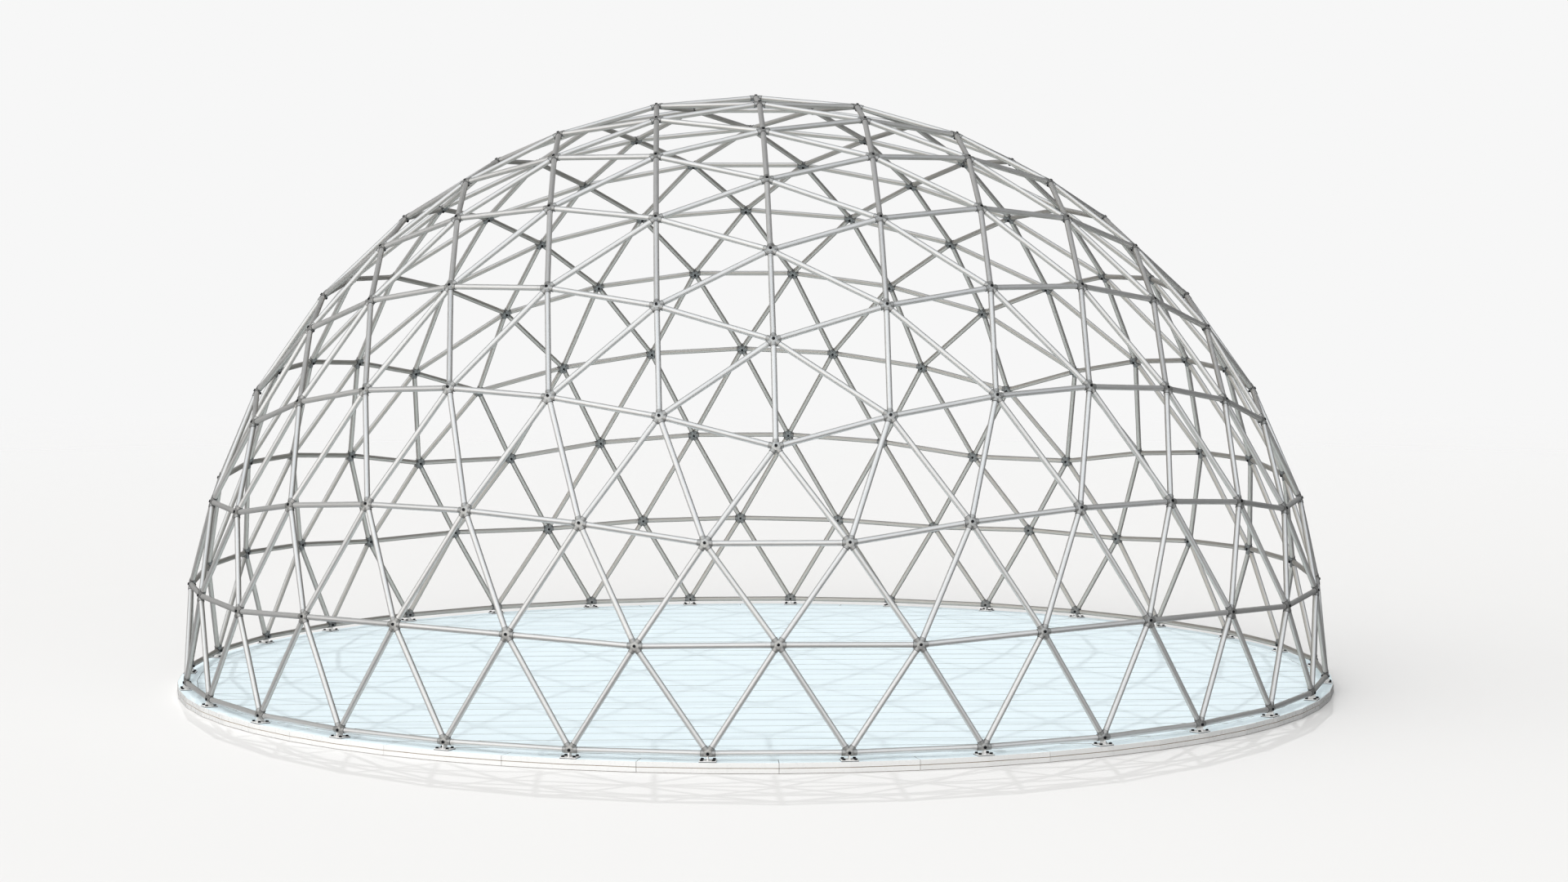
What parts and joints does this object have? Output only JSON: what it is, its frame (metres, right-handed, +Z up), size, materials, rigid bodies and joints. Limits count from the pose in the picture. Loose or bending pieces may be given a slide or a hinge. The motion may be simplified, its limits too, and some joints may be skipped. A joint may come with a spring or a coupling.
{
  "type": "dome climber",
  "caption": "Hemispherical climbing dome: straight pipes and small cast hubs form a net of triangles, bolted by short feet to the rim of a round plank deck.",
  "frame": {"origin": "on the ground under the centre of the deck", "axes": "+Z up; -Y is the front, where a five-way hub lies on the dome's plane of symmetry; +X to the right seen from the front"},
  "size_m": [6.08, 6.08, 3.1029],
  "materials": {
    "pipe_steel": "satin",
    "hub_cast": "satin",
    "cap_cast": "satin",
    "plug_steel": "satin",
    "black_fasteners": "satin",
    "pad_rubber": "matte",
    "foot_paint": "satin",
    "base_wood": "matte",
    "joist_wood": "matte",
    "deck_paint": "satin",
    "edge_white": "satin"
  },
  "bodies": {
    "root": {"anchor_bolts": "black_fasteners", "anchor_washers": "black_fasteners", "base_ring": "base_wood", "brace_pipes_1": "pipe_steel", "brace_pipes_2": "pipe_steel", "brace_pipes_3": "pipe_steel", "brace_pipes_4": "pipe_steel", "brace_pipes_5": "pipe_steel", "brace_pipes_6": "pipe_steel", "brace_pipes_7": "pipe_steel", "brace_pipes_8": "pipe_steel", "brace_pipes_9": "pipe_steel", "caps_inner_base": "cap_cast", "caps_inner_crown": "cap_cast", "caps_inner_shoulder": "cap_cast", "caps_inner_wall": "cap_cast", "caps_outer_base": "cap_cast", "caps_outer_crown": "cap_cast", "caps_outer_shoulder": "cap_cast", "caps_outer_wall": "cap_cast", "deck_joists": "joist_wood", "deck_planks": "deck_paint", "deck_ring": "deck_paint", "edge_band_lower": "edge_white", "edge_band_upper": "edge_white", "foot_pads": "pad_rubber", "foot_plates": "foot_paint", "foot_webs": "foot_paint", "hub_bolts_base": "black_fasteners", "hub_bolts_crown": "black_fasteners", "hub_bolts_shoulder": "black_fasteners", "hub_bolts_wall": "black_fasteners", "hub_crown": "hub_cast", "hub_nuts_base": "black_fasteners", "hub_nuts_crown": "black_fasteners", "hub_nuts_shoulder": "black_fasteners", "hub_nuts_wall": "black_fasteners", "hubs_ring_1": "hub_cast", "hubs_ring_2": "hub_cast", "hubs_ring_3": "hub_cast", "hubs_ring_4": "hub_cast", "hubs_ring_5": "hub_cast", "hubs_ring_6": "hub_cast", "hubs_ring_7": "hub_cast", "hubs_ring_8": "hub_cast", "hubs_ring_9": "hub_cast", "plugs_crown": "plug_steel", "plugs_shoulder": "plug_steel", "plugs_wall": "plug_steel", "ring_pipes_1": "pipe_steel", "ring_pipes_2": "pipe_steel", "ring_pipes_3": "pipe_steel", "ring_pipes_4": "pipe_steel", "ring_pipes_5": "pipe_steel", "ring_pipes_6": "pipe_steel", "ring_pipes_7": "pipe_steel", "ring_pipes_8": "pipe_steel", "ring_pipes_9": "pipe_steel"}
  },
  "joints": []
}
